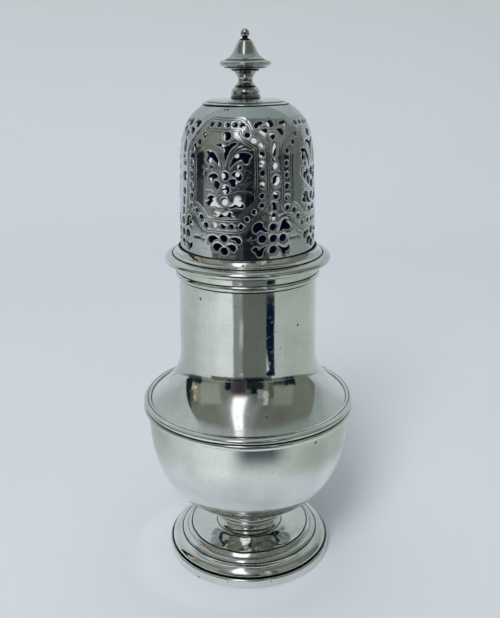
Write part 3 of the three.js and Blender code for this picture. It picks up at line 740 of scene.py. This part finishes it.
def pierced_dome():
    """The dome as one sheet: holes with eased rims, engraved lines, then its inner face and the sawn walls."""
    loops, lines = pattern()
    height = dome_length[-1]
    rng = np.random.default_rng(7)
    outline = np.concatenate(loops)
    outline_tree = tree_of(outline)
    owner = np.concatenate([np.full(len(loop), i) for i, loop in enumerate(loops)])

    def free(points, gap):
        """The points that keep a gap to every hole's outline and lie in no hole."""
        wrapped = (points[:, 0] + ALL_ROUND / 2) % ALL_ROUND - ALL_ROUND / 2
        keep = np.array([gap_to(outline_tree, x, y) >= gap for x, y in zip(wrapped, points[:, 1])], bool)
        for loop in loops:
            for shift in (0, -ALL_ROUND, ALL_ROUND):
                spot = np.stack([wrapped + shift, points[:, 1]], 1)
                low, high = loop.min(0), loop.max(0)
                near = keep & (spot >= low).all(1) & (spot <= high).all(1)
                if near.any():
                    keep[near] &= ~inside(spot[near], loop)
        return keep & (points[:, 1] > 0.2) & (points[:, 1] < height - 0.2)

    # Points of the sheet: outlines, eased rims, grooves, and a loose grid between them
    rims = []
    for loop in loops:
        area = np.sum(loop[:, 0] * np.roll(loop[:, 1], -1) - np.roll(loop[:, 0], -1) * loop[:, 1])
        rims.append(loop + sideways(loop, True) * RIM_STEP * (1 if area > 0 else -1))
    rims = np.concatenate(rims)
    rims = rims[free(rims, RIM_STEP * 0.85)]
    middles = np.concatenate(lines)
    middles = middles[free(middles, 0.34)]
    sides = np.concatenate([line + sideways(line, False) * d for line in lines for d in (-GROOVE_HALF, GROOVE_HALF)])
    sides = sides[free(sides, 0.2)]
    middle_tree = tree_of(middles)
    feature_tree = tree_of(np.concatenate([outline, rims, middles, sides]))
    columns, rows = round(ALL_ROUND / 0.62), round(height / 0.55)
    grid = np.array([
        ((i + 0.5 * (j % 2)) * ALL_ROUND / columns - ALL_ROUND / 2, j * height / rows)
        for j in range(1, rows) for i in range(columns)
    ])
    grid += rng.uniform(-0.06, 0.06, grid.shape)
    grid = grid[free(grid, 0.3)]
    grid = grid[[gap_to(feature_tree, x, y) > 0.27 for x, y in grid]]
    edge = (np.arange(columns) + 0.25) * ALL_ROUND / columns - ALL_ROUND / 2
    border = np.concatenate([np.stack([edge, np.full(columns, level)], 1) for level in (0, height)])
    points = np.concatenate([outline, rims, middles, sides, grid, border])
    points[:, 0] = (points[:, 0] + ALL_ROUND / 2) % ALL_ROUND - ALL_ROUND / 2

    # Triangles, with copies of the points past both ends so that the sheet closes into a round
    near_left = np.nonzero(points[:, 0] < -ALL_ROUND / 2 + 9)[0]
    near_right = np.nonzero(points[:, 0] > ALL_ROUND / 2 - 9)[0]
    source = np.concatenate([np.arange(len(points)), near_left, near_right])
    spread = np.concatenate([points, points[near_left] + (ALL_ROUND, 0), points[near_right] - (ALL_ROUND, 0)])
    copy_at = {}
    for k, s in enumerate(source):
        copy_at.setdefault(int(s), []).append(k)
    fences, start = [], 0
    for loop in loops:
        ids = np.arange(start, start + len(loop))
        start += len(loop)
        for a, b in zip(ids, np.roll(ids, -1)):
            for ka in copy_at[int(a)]:
                for kb in copy_at[int(b)]:
                    if abs(spread[ka][0] - spread[kb][0]) < 2:
                        fences.append((ka, kb))
    found, _, faces, origin, _, _ = delaunay_2d_cdt([Vector(p) for p in spread], fences, [], 0, 1e-6, True)
    found = np.array([tuple(p) for p in found])
    base = np.array([source[ids[0]] if ids else -1 for ids in origin])
    faces = np.array([f for f in faces if len(f) == 3])
    faces = faces[(base[faces] >= 0).all(1)]
    centre = found[faces].mean(1)
    faces = faces[(centre[:, 0] >= -ALL_ROUND / 2) & (centre[:, 0] < ALL_ROUND / 2)]
    centre = found[faces].mean(1)
    ids = base[faces]

    # Triangles that would close a hole go, and the rest face outward
    on_hole = (ids < len(outline)).all(1)
    hole = owner[np.minimum(ids, len(outline) - 1)]
    on_hole &= (hole == hole[:, :1]).all(1)
    drop = np.zeros(len(ids), bool)
    for k in np.nonzero(on_hole)[0]:
        loop = loops[hole[k, 0]]
        drop[k] = any(inside(centre[k:k + 1] + (shift, 0), loop)[0] for shift in (0, -ALL_ROUND, ALL_ROUND))
    ids = ids[~drop]
    flat = found[faces[~drop]]
    a, b, c = flat[:, 0], flat[:, 1], flat[:, 2]
    flipped = (b[:, 0] - a[:, 0]) * (c[:, 1] - a[:, 1]) - (b[:, 1] - a[:, 1]) * (c[:, 0] - a[:, 0]) < 0
    ids[flipped] = ids[flipped][:, ::-1]

    # Outer face, inner face and the walls between them
    x, y = points[:, 0], points[:, 1]
    radius, level, out_r, out_z = sheet_place(x, y)
    turn = x / dome_reach
    groove = np.array([max(0.0, 1 - gap_to(middle_tree, px, py) / GROOVE_HALF) for px, py in points])
    sunk = groove * GROOVE_DEPTH + 0.04 - wobble(turn, level, 3, 0.04)
    sunk[: len(outline)] += RIM_DROP

    def face_at(depth):
        r, z = radius - depth * out_r, level - depth * out_z
        return np.stack([r * np.sin(turn), -r * np.cos(turn), z], 1)

    vertices = np.concatenate([face_at(sunk), face_at(np.full(len(points), WALL))])
    count = len(points)
    sides_seen = {}
    for tri in ids.tolist():
        for p, q in zip(tri, tri[1:] + tri[:1]):
            sides_seen[(p, q)] = sides_seen.get((p, q), 0) + 1
    open_sides = [(p, q) for (p, q) in sides_seen if (q, p) not in sides_seen]
    outer = ids.tolist()
    inner = (ids[:, ::-1] + count).tolist()
    walls = [[q, p, p + count, q + count] for p, q in open_sides]
    used = np.zeros(2 * count, bool)
    for group in (outer, inner, walls):
        used[np.array(group).ravel()] = True
    renumber = np.cumsum(used) - 1
    all_faces = [[int(renumber[v]) for v in f] for f in outer + inner + walls]

    # Painted highlight on the sawn edges, on their eased rims and beside the engraved lines; tarnish and painted
    # shade darken the grooves
    painted_edge_highlight = np.zeros(count)
    painted_edge_highlight[: len(outline)] = 1
    painted_edge_highlight[len(outline): len(outline) + len(rims)] = 0.4
    side_start = len(outline) + len(rims) + len(middles)
    painted_edge_highlight[side_start: side_start + len(sides)] = 0.26
    recess = np.concatenate([groove * 0.9, np.zeros(count)])[used]
    edge_highlight = np.concatenate([painted_edge_highlight, np.zeros(count)])[used]
    second = [0] * len(outer) + [1] * len(inner) + [0] * len(walls)
    finish_mesh("pierced_dome_cut", vertices[used], all_faces, recess, [sawn, shade], "cover",
                ["pierced_dome"], second=second, crease=40, edge_highlight=edge_highlight)


pierced_dome()


# Stage, light and camera

def strip(name, vertices, material):
    """Smooth strip of faces through pairs of points."""
    data = bpy.data.meshes.new(name)
    data.from_pydata(vertices, [], [(i, i + 1, i + 3, i + 2) for i in range(0, len(vertices) - 2, 2)])
    data.shade_smooth()
    data.materials.append(material)
    return linked(name, data)


def paper(name, colour):
    """Pale paper, with painted light thrown by the silver round the foot, and less blue where it curves up."""
    material, s = shaded(name)
    where = s.node("TexCoord", {}, out=3)
    x, y, z = s.parts(where)
    # Painted light that the silver throws onto the paper round the foot
    painted_thrown_light = 1 - (((x + 0.006) ** 2 + (y + 0.004) ** 2) ** 0.5).within(0.027, 0.036)
    tone = s.mix(s.noise(where, 9, 2), colour, scaled(colour, 0.97, 0.97, 0.97))
    tone = s.mix(painted_thrown_light * 0.8, tone, scaled(colour, 1.12, 1.12, 1.12))
    tone = s.mix(z.within(0.0, 0.4), tone, scaled(colour, 0.985, 0.97, 0.92))
    surface = s.node("BsdfPrincipled", {"Base Color": tone, "Roughness": 0.85})
    s.node("OutputMaterial", {"Surface": surface})
    return material


floor_line = [(-1.4, 0), (0.35, 0)] + [
    (0.35 + 0.3 * math.sin(a), 0.3 - 0.3 * math.cos(a)) for a in np.linspace(0.1, math.pi / 2, 16)
] + [(0.65, 1.2)]
FLOOR_HALF = 1.4
floor_edges = [(side * FLOOR_HALF, y, z) for y, z in floor_line for side in (-1, 1)]
strip("floor", floor_edges, paper("paper_pale", rgb(203, 209, 216)))


def azimuth(x, y):
    """Azimuth in degrees, from the camera's side towards +X."""
    return x.math("ARCTAN2", y * -1) * DEGREES


def band(value, low, high, soft):
    """1 between two levels, 0 outside them."""
    return value.within(soft * -1 + low, soft + low) * (1 - value.within(soft * -1 + high, soft + high))


# The room round the paper, which the silver mirrors: azimuths, elevations, softness, colour and strength
ROOM = [
    ((-79, -44), (1, 39), 4, (144, 151, 141), 1.0),
    ((-44, -35), (-6, 40), 3, (116, 120, 110), 0.9),
    ((39, 73), (7, 41), 4, (136, 141, 132), 1.0),
    ((73, 107), (6, 44), 5, (117, 121, 112), 1.0),
    ((-36, -27), (-90, 13), 1.5, (6, 20, 32), 1.0),
    ((-27, -4), (-90, 19), 2.5, (76, 70, 74), 1.0),
    ((-21, -6), (-10, 17), 2.5, (60, 52, 58), 0.9),
    ((-4, 24), (-90, 12), 2, (30, 36, 42), 1.0),
    ((-4, 14), (11, 44), 3, (92, 98, 98), 0.9),
    ((3, 13), (8, 20), 2, (6, 14, 24), 1.0),
    ((14, 24), (12, 30), 1.5, (134, 146, 138), 1.0),
    ((23.5, 31), (15, 42), 1, (186, 190, 182), 1.0),
    ((31, 39), (-2, 29), 1.5, (80, 88, 80), 1.0),
    ((39, 57), (-90, 5), 2, (58, 60, 58), 1.0),
    ((57, 78), (-90, 7), 2, (20, 28, 34), 1.0),
    ((-94, -77), (-90, 4), 2, (30, 36, 42), 1.0),
    ((-95, -90), (5, 15), 1.5, (160, 170, 170), 0.9),
    ((-95, -90), (15, 32), 2, (64, 70, 70), 0.9),
    ((-90, -82), (8, 32), 2, (176, 152, 110), 0.7),
    ((-89, -85), (9, 13), 1, (250, 240, 215), 0.9),
    ((-88, -86), (24, 30), 1, (250, 236, 200), 0.9),
    ((-112, -95), (-90, 40), 1.5, (12, 18, 22), 0.95),
]

world = bpy.data.worlds.new("studio")
bpy.context.scene.world = world
world.use_nodes = True
w = Shader(world.node_tree)
way = w.node("TexCoord", {}, out=0)
x, y, z = w.parts(way)
ripple = w.noise(way, 11, 3)
turn = azimuth(x, y) + (ripple - 0.5) * 7
height = z.math("ARCSINE") * DEGREES
lift = height + (ripple - 0.5) * 5
room = w.mix(w.noise(way, 3, 2).within(0.3, 0.7), rgb(104, 107, 100), rgb(116, 120, 112))
for (left, right), (below, above), soft, colour, strength in ROOM:
    room = w.mix(band(turn, left, right, soft) * band(lift, below, above, soft) * strength, room, rgb(*colour))
pale = w.mix(x.within(-0.7, 0.7), rgb(176, 186, 187), rgb(146, 158, 155))
bearing = azimuth(x, y) + (height - 30) * 0.24
room = w.mix(band(bearing, -44, 22, 12) * band(height, 36, 88, 10) * 0.6, room, rgb(150, 156, 154))
room = w.mix((y + z * 1.5).within(1.14, 1.33), room, pale)
room = w.mix((y + z * 0.46 - x * 0.07).within(0.415, 0.445), room, pale)
room = w.mix(band(bearing, -30, 3, 7) * band(height, 25, 80, 6) * 0.6, room, rgb(190, 196, 197))
room = w.mix(band(bearing, -24, -3, 4) * band(height, 27, 76, 6), room, (1.4, 1.44, 1.46, 1.0))
background = w.node("Background", {"Color": room, "Strength": 1.0})
w.node("OutputWorld", {"Surface": background})


def softbox(name, place, aim, size, power):
    """Large lamp that lights the paper and that no silver mirrors."""
    light = bpy.data.lights.new(name, "AREA")
    light.shape, light.size, light.size_y = "RECTANGLE", size[0], size[1]
    light.energy = power
    lamp = linked(name, light)
    lamp.location = place
    lamp.rotation_mode = "QUATERNION"
    lamp.rotation_quaternion = (Vector(place) - Vector(aim)).to_track_quat("Z", "Y")
    lamp.visible_glossy = False


def towards(turn, lift, reach):
    """Place at an azimuth, elevation and distance from the object's foot."""
    a, e = math.radians(turn), math.radians(lift)
    return (reach * math.sin(a) * math.cos(e), -reach * math.cos(a) * math.cos(e), reach * math.sin(e))


softbox("key", towards(-22, 48, 2.4), (0, 0.02, 0), (0.7, 1.4), 36)
softbox("above", towards(0, 86, 2.4), (0, 0, 0), (2.2, 2.2), 16)


# Painted reflections of what stands past the near paper, as azimuths and a colour, at arm's length and beyond
MIDDLE_FLOOR = [
    ((-60, -21), (92, 96, 90)), ((-21, -9), (62, 68, 70)), ((-9, 26), (28, 36, 42)), ((26, 37), (72, 82, 78)),
]
FAR_FLOOR = [
    ((-107, -77), (66, 72, 76)), ((-76, -60), (142, 148, 140)), ((-59, -35), (106, 108, 100)),
    ((-34, -26), (36, 46, 56)), ((-26, -4), (42, 36, 42)), ((-4, 25), (14, 20, 25)), ((25, 38), (66, 74, 72)),
    ((38, 57), (86, 90, 84)), ((57, 77), (34, 44, 50)), ((77, 106), (110, 118, 110)),
]


def foreground():
    """Light and shade on the paper round the foot, which only the silver shows.

    Bearings are in degrees and reaches in millimetres from the middle of the foot.
    """
    material, s = shaded("foreground")
    where = s.node("TexCoord", {}, out=3)
    x, y, z = s.parts(where)
    ragged = s.noise(where, 75, 4, 0.65)
    bearing = azimuth(x, y)
    turn = bearing + (ragged - 0.5) * 6
    reach = (x * x + y * y) ** 0.5 * 1000
    tone = s.mix(bearing.within(-180, -112), rgb(196, 205, 208), rgb(180, 190, 189))
    tone = s.mix(bearing.within(-104, -66), tone, rgb(204, 211, 211))
    tone = s.mix(band(bearing, -52, -14, 10), tone, rgb(223, 229, 229))
    tone = s.mix(bearing.within(20, 44), tone, rgb(180, 189, 184))
    tone = s.mix(bearing.within(40, 74), tone, rgb(168, 178, 173))
    tone = s.mix(bearing.within(104, 170), tone, rgb(196, 205, 208))
    # Painted shade in front of the foot, as the silver mirrors it
    near = 1 - reach.within(110, 200)
    soft = near * 11 + 1.6
    patch = band(turn, near * 12 - 23, near * 4 + 29, soft) * reach.within(70, 116)
    dark = s.mix(s.noise(where, 30, 3), rgb(98, 103, 98), rgb(106, 112, 106))
    tone = s.mix(patch, tone, s.mix(near, dark, rgb(76, 87, 89)))
    tone = s.mix(patch * band(turn, -25, -9, 1.5) * 0.9 * reach.within(120, 200), tone, rgb(136, 144, 144))
    dashes = (reach * 0.055).math("SINE").within(-0.2, 0.5)
    tone = s.mix(patch * band(turn, -14, -8, 1.2) * dashes * reach.within(160, 185), tone, rgb(176, 184, 184))
    # Painted reflection of a narrow dark upright thing
    near_end = (1 - reach.within(165, 235)) * 10
    streak = (turn - near_end).within(27.5, 29.5) * (1 - turn.within(41.5, 43.5))
    tone = s.mix(streak * reach.within(168, 180) * (1 - reach.within(345, 375)), tone, rgb(6, 20, 44))
    for (left, right), colour in MIDDLE_FLOOR:
        tone = s.mix(band(turn, left, right, 2.5) * reach.within(350, 400), tone, rgb(*colour))
    far = s.mix(s.noise(where, 16, 3), rgb(124, 130, 122), rgb(136, 142, 134))
    for (left, right), colour in FAR_FLOOR:
        far = s.mix(band(turn, left, right, 2), far, rgb(*colour))
    tone = s.mix(reach.within(500, 640), tone, far)
    seen = s.node("Emission", {"Color": tone, "Strength": 1.0})
    clear = s.node("BsdfTransparent", {})
    surface = s.node("MixShader", {0: reach.within(52, 80), 1: clear, 2: seen})
    s.node("OutputMaterial", {"Surface": surface})
    turns = np.radians(np.linspace(-180, 180, 73))
    ring = [(r * math.sin(a), -r * math.cos(a), 0.001) for a in turns for r in (0.05, 1.39)]
    sheet = strip("foreground", ring, material)
    sheet.visible_camera = sheet.visible_diffuse = sheet.visible_shadow = False


foreground()

# Camera fitted to the photo's ellipses. Its focal length and the photo's height are in pixels.
CAMERA_PLACE = Vector((0, -0.2178, 0.1538))
FOCAL_LENGTH, PHOTO_HEIGHT, SENSOR_MM = 763, 618, 36
PITCH, YAW, ROLL = math.radians(18.58), math.radians(0.156), math.radians(0.352)
ahead = Vector((0, math.cos(PITCH), -math.sin(PITCH)))
up = Vector((0, math.sin(PITCH), math.cos(PITCH)))
right = Vector((1, 0, 0)) * math.cos(YAW) - ahead * math.sin(YAW)
ahead = ahead * math.cos(YAW) + Vector((1, 0, 0)) * math.sin(YAW)
right, up = right * math.cos(ROLL) - up * math.sin(ROLL), right * math.sin(ROLL) + up * math.cos(ROLL)
camera_data = bpy.data.cameras.new("camera")
camera_data.sensor_width = SENSOR_MM
camera_data.lens = FOCAL_LENGTH / PHOTO_HEIGHT * SENSOR_MM
camera_data.clip_start, camera_data.clip_end = 0.01, 20
camera = linked("camera", camera_data)
camera.matrix_world = Matrix.Translation(CAMERA_PLACE) @ Matrix((right, up, -ahead)).transposed().to_4x4()
bpy.context.scene.camera = camera
bpy.context.scene.view_settings.view_transform = "Standard"
